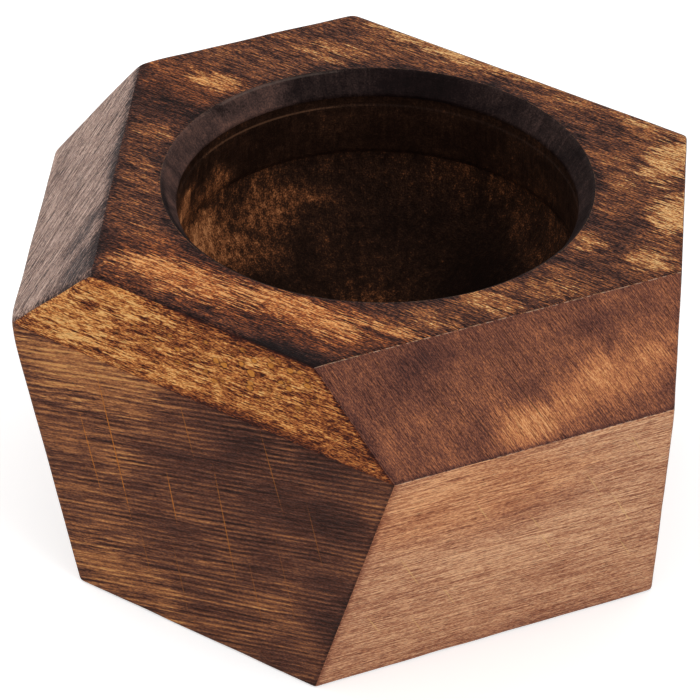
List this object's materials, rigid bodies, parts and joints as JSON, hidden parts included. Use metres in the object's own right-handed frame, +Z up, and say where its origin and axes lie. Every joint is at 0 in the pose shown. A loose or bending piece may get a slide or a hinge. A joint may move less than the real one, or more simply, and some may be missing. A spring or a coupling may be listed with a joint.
{
  "type": "pen holder",
  "caption": "Squat faceted hardwood pot with a round turned hollow and a steep bevelled rim, standing on a flat base.",
  "frame": {"origin": "where the axis of the turned hollow meets the flat base", "axes": "+Z up along the hollow's axis, -X towards the wide bevel on the left, -Y towards the front corner"},
  "size_m": [0.0914, 0.1079, 0.053],
  "materials": {
    "stained_wood": "dark stained, planed facets, satin oil"
  },
  "bodies": {
    "root": {"block": "stained_wood"}
  },
  "joints": []
}
